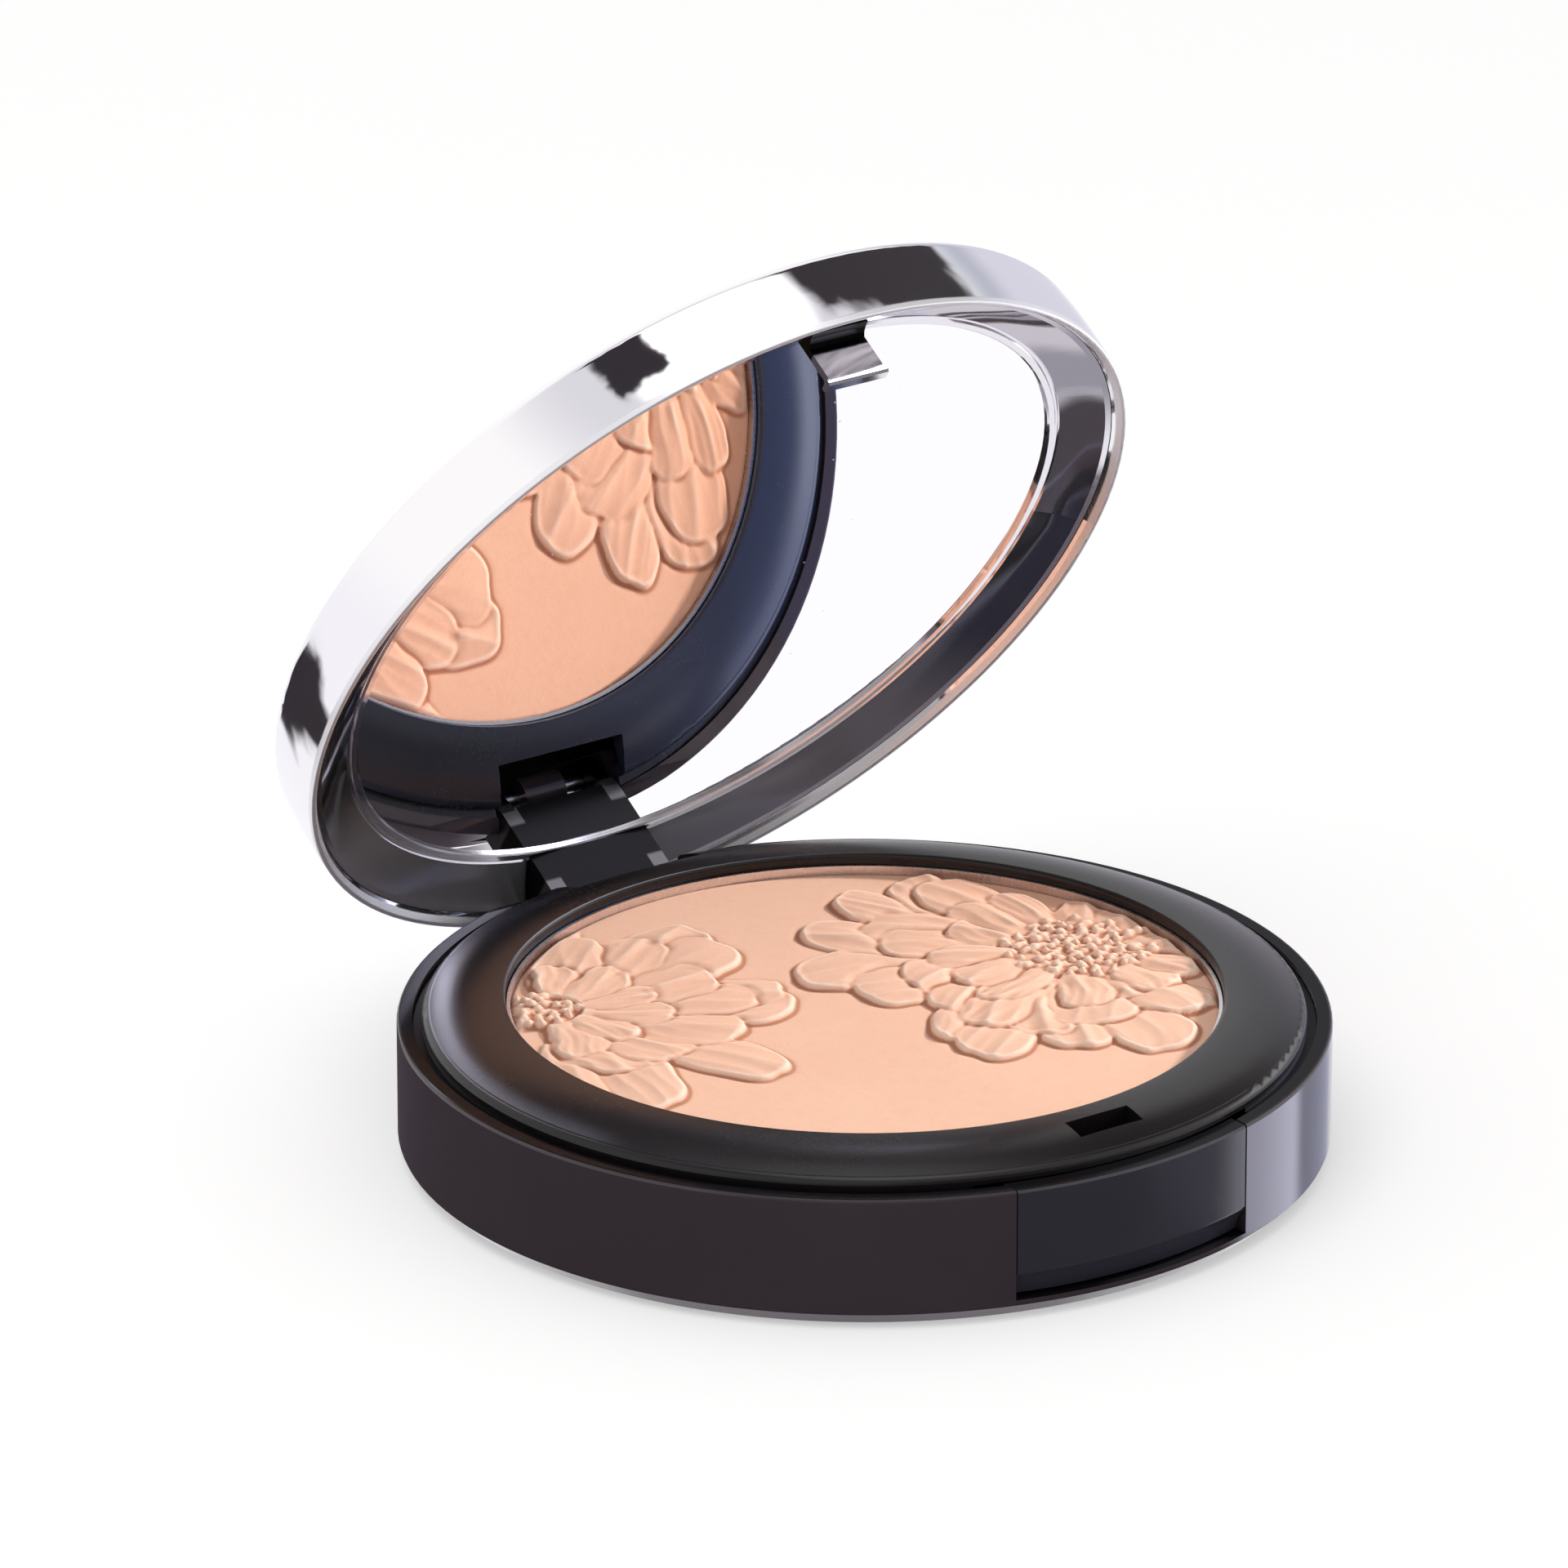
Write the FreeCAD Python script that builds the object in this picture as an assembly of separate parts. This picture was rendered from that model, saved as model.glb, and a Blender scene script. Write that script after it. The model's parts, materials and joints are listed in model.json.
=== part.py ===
"""Round powder compact: black moulded base with a pressed-powder pan, a push plate that frees the
lid, and a bright-plated mirror lid on a pinned rear hinge.

Frame: millimetres, +Z up, origin on the resting plane at the centre of the base. The hinge is at
+Y and the push plate at -Y. Lid parts are modelled shut and then turned about the hinge pin to
LID_REST degrees open, which is the rest pose of the model.
"""
import FreeCAD, Part
import os
from math import sin, cos, radians, sqrt
from FreeCAD import Vector as V

# ---------------------------------------------------------------- base (mm, degrees throughout)
BASE_R = 38.5            # outer radius of the base wall
LEDGE_Z = 11.3           # ledge the lid closes on
FOOT_R = 37.15           # resting ring
FOOT_BEVEL_Z = 1.3       # top of the bevel around the foot
WALL_T = 1.3             # base wall, and so the width of the ledge
FLOOR_T = 1.4
WALL_IN_R = BASE_R - WALL_T
ROOT_Z = FLOOR_T - 0.2   # features on the floor start this low, so that they overlap it
LABEL_R = 27.5
LABEL_T = 0.14           # the label fills its recess, flush with the resting ring

# ---------------------------------------------------------------- deck and pan
WELL_R = 29.55           # opening in the deck that the pan drops into
WELL_T = 0.9
WELL_FLOOR_Z = 6.8
WELL_FLOOR_T = 1.1
WELL_HOLE_R = 5.0        # hole in the middle of the well floor
CREST_Z = 13.4           # top of the deck around the opening
DECK_R = 36.4            # upright edge of the raised deck
ROOF_Z = 11.55           # underside of the deck between well and skirt
SKIRT_Z = 9.6            # lower edge of the skirt
SKIRT_TOP_Z = 10.85
SKIRT_IN_R = 35.3

PAN_R = WELL_R - 0.1
PAN_T = 0.3
POWDER_Z = 11.75         # flat field of the pressed cake
PAN_RIM = 0.75           # how far the wall of the pan stands above the cake
GLUE_T, GLUE_R = 0.3, 4.0
GLUE_RING_R = 17         # circle that the three glue pads lie on
PAN_Z = WELL_FLOOR_Z + GLUE_T

# ---------------------------------------------------------------- hinge
HINGE_Y, HINGE_Z = 35.45, 7.4
BOSS_HALF = 8.95         # outer faces of the bosses
PIN_R = 0.8
PIN_HALF = 8.8
EYE_R = 1.9              # round eyes of the knuckle and the lugs
KNUCKLE_HALF = 2.05
LUG_IN, LUG_OUT = 4.45, 5.95
LUG_FRONT = 32.75        # -Y face of the lugs, lid shut
WEB_T, WEB_RISE = 1.5, 2.5   # cross web: thickness, and height of its lower edge above the pin
NOTCH_HALF = LUG_OUT + 0.4
NOTCH_Z = 5.4            # the lugs meet this edge just past the open limit
PIN_FIT = 0.02           # clearance of the pin in the base
PIN_RUN = 0.05           # running clearance of the lugs on the pin

# ---------------------------------------------------------------- lid; heights above the rim plane
LID_GAP = 0.08           # lid rim to ledge when shut
RIM_Z = LEDGE_Z + LID_GAP    # rim plane of the lid when shut
LID_REST = 58.0          # rest pose, degrees open from shut
LID_R = BASE_R + 0.1
LID_H = 7.35             # height of the lid wall
LID_DOME = 0.7
LID_FLAT_R = 6.0         # flat middle of the domed top
JOINT_R = 37.65          # joint between cover and mirror frame
JOINT_GAP = 0.03         # half of the gap in that joint
LID_TOP_IN = 5.6         # inside of the lid top
MIRROR_FACE = 3.3
MIRROR_VISIBLE_R = 32.7
MIRROR_R = 34.2
MIRROR_T = 1.3
TAPE_R = 30
LAYER_GAP = 0.01         # between stacked thin layers

# ---------------------------------------------------------------- push plate, catch and springs
PLATE_HALF = 11.4        # half width of the push plate
PLATE_GAP = 0.14
PLATE_IN_R = 36.6        # inner radius of the push plate
PLATE_TOP_Z = LEDGE_Z - 0.08
PLATE_CLEAR = 22.0       # half angle of the space for the push plate
WINDOW_Z = 1.75
SLOT_HALF = 3.1          # slot in the deck for the hook
SLOT_FRONT, SLOT_REAR = -33.95, -31.75
HOOK_HALF = 2.75         # half width of the seat of the hook
HOOK_FIT = 0.02          # side clearance of the hook in its seat
BARB_HALF = 2.95
HOOK_TIP = -1.9          # tip of the hook, from the rim plane
CATCH_HALF = 5.1
CATCH_ARM_IN = 3.5       # inner faces of the catch arms
CATCH_BAR_Z = 10.14      # underside of the catch bar and arms
CATCH_REAR = -31.8
CATCH_TOP_Z = 11.1
SPRING_X, SPRING_Z = 7.9, 6.9
SPRING_R, WIRE_R = 1.15, 0.16
SPRING_L, SPRING_TURNS = 3.85, 5
SEAT_Y = -31.3           # face of the spring seats towards the push plate
SEAT_T, SEAT_HALF = 1.0, 1.8
PEG_R = 0.75             # pegs that locate the spring ends

FAR, ABOVE = 45, 14      # beyond every radius, and above every base part: ends of cutting boxes


# ---------------------------------------------------------------- helpers
def revolve(outline, angle=360.0, lift=0.0):
    """Turn (r, z) points about Z from +X; ("arc", mid, end) is a three-point arc."""
    def at(point):
        return V(point[0], 0, point[1] + lift)

    edges, here = [], outline[0]
    for item in outline[1:] + [outline[0]]:
        if item[0] == "arc":
            mid, end = item[1:]
            edges.append(Part.Arc(at(here), at(mid), at(end)).toShape())
            here = end
        elif item != here:
            edges.append(Part.makeLine(at(here), at(item)))
            here = item
    solid = Part.Face(Part.Wire(edges)).revolve(V(0, 0, 0), V(0, 0, 1), angle)
    if solid.Volume < 0:
        solid.reverse()
    return solid


def box(x0, x1, y0, y1, z0, z1):
    return Part.makeBox(x1 - x0, y1 - y0, z1 - z0, V(x0, y0, z0))


def side_boxes(x_in, x_out, *y_and_z):
    """A box on the -X side and its mirror image on the +X side."""
    return [box(-x_out, -x_in, *y_and_z), box(x_in, x_out, *y_and_z)]


def cylinder(radius, length, start=(0, 0, 0), axis=(0, 0, 1)):
    return Part.makeCylinder(radius, length, V(*start), V(*axis))


def hinge_rod(radius, x0, x1):
    """Cylinder on the hinge axis."""
    return cylinder(radius, x1 - x0, (x0, HINGE_Y, HINGE_Z), (1, 0, 0))


def spring_peg(side, y, length):
    return cylinder(PEG_R, length, (side * SPRING_X, y, SPRING_Z), (0, 1, 0))


def sector(r0, r1, z0, z1, start, end):
    """Ring sector; angles in degrees from -Y, positive towards +X."""
    solid = revolve([(r0, z0), (r1, z0), (r1, z1), (r0, z1)], end - start)
    solid.rotate(V(0, 0, 0), V(0, 0, 1), -90 + start)
    return solid


def yz_prism(points, x0, x1, lift=0.0):
    """Prism along X from a list of (y, z) corners."""
    corners = [V(x0, y, z + lift) for y, z in points + [points[0]]]
    return Part.Face(Part.makePolygon(corners)).extrude(V(x1 - x0, 0, 0))


def save(shape, name, in_lid=False):
    shape = shape.removeSplitter()
    if in_lid:
        shape.rotate(V(0, HINGE_Y, HINGE_Z), V(1, 0, 0), -LID_REST)
    solids = shape.Solids
    assert solids and all(solid.isValid() and solid.Volume > 0 for solid in solids), name
    result = solids[0] if len(solids) == 1 else Part.makeCompound(solids)
    result.exportStep("parts/%s.step" % name)


# ---------------------------------------------------------------- base parts
def base_shell():
    shell = revolve([
        (0, LABEL_T), (LABEL_R + 0.3, LABEL_T), (LABEL_R + 0.3, 0), (FOOT_R - 0.25, 0),
        ("arc", (FOOT_R - 0.07, 0.05), (FOOT_R + 0.06, 0.16)),
        (BASE_R - 0.1, FOOT_BEVEL_Z - 0.05), (BASE_R - 0.1, FOOT_BEVEL_Z + 0.08),
        (BASE_R, FOOT_BEVEL_Z + 0.18), (BASE_R, LEDGE_Z - 0.28),
        (BASE_R - 0.04, LEDGE_Z - 0.14), (BASE_R - 0.14, LEDGE_Z - 0.04),
        (BASE_R - 0.28, LEDGE_Z), (WALL_IN_R, LEDGE_Z), (WALL_IN_R, FLOOR_T), (0, FLOOR_T)])
    # ring under the well, and four ribs under the edge of the deck
    shell = shell.fuse(sector(23.6, 24.8, ROOT_Z, 5.65, 0, 360))
    for angle in (48, 122, -48, -122):
        rib = sector(35.5, WALL_IN_R + 0.3, ROOT_Z, 9.57, angle - 5, angle + 5)
        shell = shell.fuse(rib)
    # hinge bosses, kept inside the wall
    inside = cylinder(WALL_IN_R + 0.3, LEDGE_Z)
    for boss in side_boxes(NOTCH_HALF, BOSS_HALF, 33.4, 38.0, ROOT_Z, 9.2):
        shell = shell.fuse(boss.common(inside))
    # notch that the lugs swing out through, then the centre knuckle in the middle of it
    shell = shell.cut(box(-NOTCH_HALF, NOTCH_HALF, 33.0, FAR, NOTCH_Z, ABOVE))
    knuckle = box(-KNUCKLE_HALF, KNUCKLE_HALF, HINGE_Y - EYE_R + 0.05, HINGE_Y + EYE_R - 0.05,
                  ROOT_Z, HINGE_Z)
    shell = shell.fuse(knuckle.fuse(hinge_rod(EYE_R, -KNUCKLE_HALF, KNUCKLE_HALF)))
    # rear top edge rounded about the hinge axis, so that the rim of the lid can pass
    corner_half = 17
    corner = box(-corner_half, corner_half, HINGE_Y + 0.3, FAR, HINGE_Z, ABOVE)
    corner = corner.cut(hinge_rod(LEDGE_Z - HINGE_Z + 0.02, -corner_half, corner_half))
    shell = shell.cut(corner)
    # pin hole, blind at -X
    shell = shell.cut(hinge_rod(PIN_R + PIN_FIT, -PIN_HALF - PIN_FIT, BOSS_HALF + 0.08))
    # window for the push plate, open to the ledge
    window_half = PLATE_HALF + PLATE_GAP
    shell = shell.cut(box(-window_half, window_half, -FAR, -32, WINDOW_Z, ABOVE))
    # spring seats behind the push plate
    for side in (-1, 1):
        x = side * SPRING_X
        shell = shell.fuse(box(x - SEAT_HALF, x + SEAT_HALF, SEAT_Y, SEAT_Y + SEAT_T, ROOT_Z, 8.9))
        shell = shell.fuse(spring_peg(side, SEAT_Y - 0.9, 0.9))
    return shell


def bezel_deck():
    """Raised ring with the pan well inside it and the skirt around it."""
    well_out_r = WELL_R + WELL_T
    well_under_z = WELL_FLOOR_Z - WELL_FLOOR_T
    skirt_r = WALL_IN_R - 0.05
    deck = revolve([
        (WELL_R, WELL_FLOOR_Z), (WELL_R, CREST_Z - 0.35),
        ("arc", (WELL_R + 0.1, CREST_Z - 0.1), (WELL_R + 0.35, CREST_Z)),
        ("arc", (33.5, 13.06), (35.75, 12.22)),
        ("arc", (36.22, 11.95), (DECK_R, 11.62)),
        (DECK_R, SKIRT_TOP_Z), (skirt_r, SKIRT_TOP_Z), (skirt_r, SKIRT_Z),
        (SKIRT_IN_R, SKIRT_Z), (SKIRT_IN_R, ROOF_Z), (well_out_r, ROOF_Z),
        (well_out_r, well_under_z), (WELL_HOLE_R, well_under_z), (WELL_HOLE_R, WELL_FLOOR_Z)])
    deck = deck.cut(box(-SLOT_HALF, SLOT_HALF, SLOT_FRONT, SLOT_REAR, 10, ABOVE))
    # stepped space for the push plate: inner radius, outer radius, bottom, top
    for r0, r1, z0, z1 in ((34.2, 38, 8, SKIRT_TOP_Z + 0.01),
                           (34.2, SKIRT_IN_R + 0.05, 10.8, ROOF_Z),
                           (34.9, 38, 8, 11.25)):
        deck = deck.cut(sector(r0, r1, z0, z1, -PLATE_CLEAR, PLATE_CLEAR))
    # room for the lugs, then for the hinge bosses
    deck = deck.cut(box(-NOTCH_HALF, NOTCH_HALF, LUG_FRONT - 0.35, FAR, 5, ABOVE))
    for room in side_boxes(NOTCH_HALF - 0.1, BOSS_HALF + 0.15, 33.2, FAR, 5, 9.3):
        deck = deck.cut(room)
    return deck


def powder_pan():
    top = POWDER_Z + PAN_RIM
    in_r = PAN_R - PAN_T
    return revolve([
        (0, PAN_Z), (PAN_R - 0.5, PAN_Z),
        ("arc", (PAN_R - 0.146, PAN_Z + 0.146), (PAN_R, PAN_Z + 0.5)),
        (PAN_R, top), (in_r, top), (in_r, PAN_Z + 0.6),
        ("arc", (in_r - 0.09, PAN_Z + 0.39), (in_r - 0.3, PAN_Z + PAN_T)),
        (0, PAN_Z + PAN_T)])


def pressed_powder():
    cake_r = PAN_R - PAN_T - 0.02
    bottom = PAN_Z + PAN_T + LAYER_GAP
    return revolve([(0, bottom), (cake_r - 0.35, bottom), (cake_r, PAN_Z + 0.65),
                    (cake_r, POWDER_Z - 0.05), (cake_r - 0.06, POWDER_Z), (0, POWDER_Z)])


def pan_glue_pads():
    pads = []
    for angle in (90, 210, 330):
        x = GLUE_RING_R * cos(radians(angle))
        y = GLUE_RING_R * sin(radians(angle))
        pads.append(cylinder(GLUE_R, GLUE_T, (x, y, WELL_FLOOR_Z)))
    return Part.makeCompound(pads)


def disc(radius, bottom, top, lift=0.0):
    return revolve([(0, bottom), (radius, bottom), (radius, top), (0, top)], lift=lift)


# ---------------------------------------------------------------- push plate, catch, springs
def push_plate():
    face_r = BASE_R - 0.04
    plate = revolve([
        (PLATE_IN_R, 1.95), (PLATE_IN_R + 0.85, 1.95),
        ("arc", (37.76, 3.05), (BASE_R - 0.12, 3.95)),
        (face_r, 4.15), (face_r, PLATE_TOP_Z - 0.2),
        (BASE_R - 0.2, PLATE_TOP_Z), (PLATE_IN_R, PLATE_TOP_Z)], 50)
    plate.rotate(V(0, 0, 0), V(0, 0, 1), -90 - 25)
    plate = plate.common(box(-PLATE_HALF, PLATE_HALF, -FAR, 0, 0, ABOVE))
    # wings that reach behind the wall at both ends
    wing_in = PLATE_HALF - 1.4
    wings = sector(36.0, WALL_IN_R - 0.1, 2.6, 9.4, -19.4, 19.4)
    wings = wings.cut(box(-wing_in, wing_in, -FAR, -30, 2, ABOVE))
    plate = plate.fuse(wings)
    for side in (-1, 1):
        plate = plate.fuse(spring_peg(side, -36.9, 2.2))
    return plate


def catch_slider():
    """Upright block behind the push plate, with two arms joined by a catch bar."""
    slider = box(-CATCH_HALF, CATCH_HALF, -37, -35.0, 7.6, CATCH_TOP_Z)
    arms = side_boxes(CATCH_ARM_IN, CATCH_HALF, -35.1, CATCH_REAR, CATCH_BAR_Z, CATCH_TOP_Z)
    pads = side_boxes(CATCH_ARM_IN, CATCH_HALF, -34.4, CATCH_REAR, CATCH_BAR_Z, 11.3)
    for arm, pad in zip(arms, pads):
        slider = slider.fuse(arm).fuse(pad)
    bar = [(-32.42, CATCH_BAR_Z), (CATCH_REAR, CATCH_BAR_Z), (CATCH_REAR, 10.95),
           (-32.2, 10.95), (-32.42, 10.6)]
    slider = slider.fuse(yz_prism(bar, -CATCH_HALF, CATCH_HALF))
    return slider.common(cylinder(PLATE_IN_R - 0.02, ABOVE))


def return_spring(x):
    """Coil along Y, from just in front of its seat towards the push plate."""
    rise = SPRING_L - 2 * WIRE_R
    helix = Part.makeHelix(rise / SPRING_TURNS, rise, SPRING_R)
    sweep = Part.BRepOffsetAPI.MakePipeShell(Part.Wire(helix.Edges))
    sweep.setFrenetMode(True)
    sweep.add(Part.Wire([Part.makeCircle(WIRE_R, V(SPRING_R, 0, 0), V(0, 1, 0))]))
    sweep.build()
    sweep.makeSolid()
    coil = sweep.shape()
    coil.translate(V(0, 0, WIRE_R))
    coil.rotate(V(0, 0, 0), V(1, 0, 0), 90)
    coil.translate(V(x, SEAT_Y - 0.04, SPRING_Z))
    return coil


# ---------------------------------------------------------------- lid parts, modelled shut
def lid_cover():
    edge_r, dome_mid_r = 37.3, 20
    top = LID_H + LID_DOME
    # the dome is an arc that runs smoothly into the flat middle
    dome_r = ((edge_r - LID_FLAT_R) ** 2 + LID_DOME ** 2) / (2 * LID_DOME)
    dome_mid_z = top - dome_r + sqrt(dome_r ** 2 - (dome_mid_r - LID_FLAT_R) ** 2)
    joint_r = JOINT_R + JOINT_GAP
    return revolve([
        (joint_r, 0.92), (38.17, 0.13), ("arc", (38.27, 0.03), (38.4, 0.0)),
        ("arc", (38.54, 0.06), (LID_R, 0.22)),
        ("arc", (LID_R + 0.07, 3.6), (LID_R - 0.1, 6.3)),
        ("arc", (LID_R - 0.42, 7.04), (edge_r, LID_H)),
        ("arc", (dome_mid_r, dome_mid_z), (LID_FLAT_R, top)),
        (0, top), (0, LID_TOP_IN), (joint_r, LID_TOP_IN)], lift=RIM_Z)


def mirror_frame():
    joint_r = JOINT_R - JOINT_GAP
    seat_r = MIRROR_R + 0.1
    top = LID_TOP_IN - 0.03
    frame = revolve([
        (37.15, 1.12), (joint_r, 0.98), (joint_r, top), (seat_r, top), (seat_r, MIRROR_FACE),
        (MIRROR_VISIBLE_R, MIRROR_FACE), (MIRROR_VISIBLE_R, 3.08), (32.85, 2.93),
        (33.35, 2.93), (33.5, 3.1), (33.68, 3.1), (33.8, 2.95),
        ("arc", (35.52, 2.12), (37.15, 1.12))], lift=RIM_Z)
    web_top = RIM_Z + 3.12
    lug_rear = 36.75
    lug = [(HINGE_Y - EYE_R, HINGE_Z), (LUG_FRONT, RIM_Z - 1.2), (LUG_FRONT, web_top),
           (35.9, web_top), (lug_rear, RIM_Z + 2.2), (lug_rear, HINGE_Z)]
    for x0, x1 in ((-LUG_OUT, -LUG_IN), (LUG_IN, LUG_OUT)):
        frame = frame.fuse(yz_prism(lug, x0, x1)).fuse(hinge_rod(EYE_R, x0, x1))
    # cross web that joins the lugs above the knuckle
    web_half = LUG_IN + 0.2
    frame = frame.fuse(box(-web_half, web_half, LUG_FRONT, LUG_FRONT + WEB_T,
                           HINGE_Z + WEB_RISE, web_top))
    frame = frame.cut(hinge_rod(PIN_R + PIN_RUN, -LUG_OUT - 0.5, LUG_OUT + 0.5))
    # seat for the root of the hook
    return frame.cut(box(-HOOK_HALF, HOOK_HALF, -34.75, -32.5, RIM_Z + 2.2, RIM_Z + MIRROR_FACE))


def latch_hook():
    """Blade with its root at the top, a wider barb at its tip and a ridge across its +Y face."""
    half = HOOK_HALF - HOOK_FIT
    front, rear, root_front = -33.17, -32.5, -34.72
    root_top = MIRROR_FACE - 0.03
    blade = [(root_front, 2.22), (-34.1, 2.2), (-33.55, 2.08), (front, 1.85),
             (front, HOOK_TIP + 0.2), (-32.97, HOOK_TIP), (rear, HOOK_TIP),
             (rear, root_top), (root_front, root_top)]
    barb = [(front, HOOK_TIP + 0.2), (-32.97, HOOK_TIP), (-32.25, HOOK_TIP),
            (-31.95, HOOK_TIP + 0.3), (-31.95, HOOK_TIP + 0.5), (-32.0, HOOK_TIP + 0.6),
            (front, HOOK_TIP + 0.6)]
    ridge = [(rear, 0.35), (-32.38, 0.22), (-32.38, 0.0), (rear, -0.13)]
    hook = yz_prism(blade, -half, half, RIM_Z)
    hook = hook.fuse(yz_prism(barb, -BARB_HALF, BARB_HALF, RIM_Z))
    return hook.fuse(yz_prism(ridge, -half, half, RIM_Z))


def mirror_glass():
    face, back = MIRROR_FACE + LAYER_GAP, MIRROR_FACE + MIRROR_T
    return revolve([(0, face), (MIRROR_R - 0.2, face), (MIRROR_R, face + 0.2),
                    (MIRROR_R, back), (0, back)], lift=RIM_Z)


def mirror_tape():
    return disc(TAPE_R, MIRROR_FACE + MIRROR_T + LAYER_GAP, LID_TOP_IN - LAYER_GAP, RIM_Z)


os.makedirs("parts", exist_ok=True)
for build in (base_shell, bezel_deck, powder_pan, pressed_powder, pan_glue_pads,
              push_plate, catch_slider):
    save(build(), build.__name__)
save(disc(LABEL_R, 0, LABEL_T), "base_label")
save(hinge_rod(PIN_R, -PIN_HALF, PIN_HALF), "hinge_pin")
save(Part.makeCompound([return_spring(-SPRING_X), return_spring(SPRING_X)]), "return_springs")
for build in (lid_cover, mirror_frame, latch_hook, mirror_glass, mirror_tape):
    save(build(), build.__name__, in_lid=True)
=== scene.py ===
"""A round powder compact standing open on a pale table: a black base with a pressed powder
relief, and a plated lid with a mirror, tilted back on its hinge pin.
Metres, +Z up. The front faces -Y, the hinge runs along X at the back (+Y)."""

import json
import math

import bmesh
import bpy
import numpy as np
from mathutils import Matrix, Vector


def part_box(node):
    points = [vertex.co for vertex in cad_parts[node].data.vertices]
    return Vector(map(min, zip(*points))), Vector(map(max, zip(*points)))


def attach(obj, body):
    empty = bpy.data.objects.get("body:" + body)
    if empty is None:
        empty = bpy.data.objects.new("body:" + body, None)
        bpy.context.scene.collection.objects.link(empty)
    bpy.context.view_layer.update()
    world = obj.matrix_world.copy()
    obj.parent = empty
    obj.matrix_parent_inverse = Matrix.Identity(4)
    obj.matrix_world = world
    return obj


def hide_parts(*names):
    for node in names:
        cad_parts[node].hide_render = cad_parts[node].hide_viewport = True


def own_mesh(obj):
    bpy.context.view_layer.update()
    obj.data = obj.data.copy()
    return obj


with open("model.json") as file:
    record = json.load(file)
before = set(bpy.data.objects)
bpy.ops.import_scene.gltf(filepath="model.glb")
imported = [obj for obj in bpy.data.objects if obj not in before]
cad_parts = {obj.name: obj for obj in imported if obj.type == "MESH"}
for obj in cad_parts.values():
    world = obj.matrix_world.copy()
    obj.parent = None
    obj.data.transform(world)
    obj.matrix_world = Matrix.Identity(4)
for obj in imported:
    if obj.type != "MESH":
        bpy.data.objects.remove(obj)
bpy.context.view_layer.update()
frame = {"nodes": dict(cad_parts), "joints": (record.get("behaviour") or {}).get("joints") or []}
NODES = frame["nodes"]
MM = 0.001
X_AXIS, UP = (1, 0, 0), (0, 0, 1)


def direction(azimuth, elevation):
    """Unit vector, angles in degrees: azimuth 0 is the front (-Y), 90 the right (+X)."""
    a, e = math.radians(azimuth), math.radians(elevation)
    return Vector((math.sin(a) * math.cos(e), -math.cos(a) * math.cos(e), math.sin(e)))


def add_object(name, data):
    thing = bpy.data.objects.new(name, data)
    bpy.context.scene.collection.objects.link(thing)
    return thing


def mesh_from(bm, name):
    mesh = bpy.data.meshes.new(name)
    bm.to_mesh(mesh)
    bm.free()
    return mesh


# ------------------------------------------------------------------ driving places

CAMERA_AZIMUTH, CAMERA_ELEVATION = -35.5, 21.8
BASE_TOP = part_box("base_shell")[1].z
LEDGE = BASE_TOP + 0.00005
low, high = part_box("hinge_pin")
PIN = (low + high) / 2
REST = math.radians(-[j for j in frame["joints"] if j["name"] == "lid_hinge"][0]["range_deg"][0])
# axes of the open lid: from its rim plane up to its top, and from its front edge to the hinge
ALONG = Vector((0, math.sin(REST), math.cos(REST)))
ACROSS = Vector((0, math.cos(REST), -math.sin(REST)))
PIN_ALONG, PIN_ACROSS = ALONG.dot(PIN), ACROSS.dot(PIN)
RIM = PIN_ALONG + BASE_TOP - PIN.z
# line of sight of the camera, turned over by the mirror
SIGHT = direction(CAMERA_AZIMUTH, CAMERA_ELEVATION)
SIGHT = SIGHT - 2 * SIGHT.dot(ALONG) * ALONG

# the powder disc, in mm: centre, radius, underside, level of the flat face
low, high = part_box("pressed_powder")
CENTRE_X, CENTRE_Y = (low.x + high.x) / 2 / MM, (low.y + high.y) / 2 / MM
RADIUS = (high.x - low.x) / 2 / MM
UNDERSIDE, FACE = low.z / MM, high.z / MM

# ------------------------------------------------------------------ shader helpers


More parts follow.
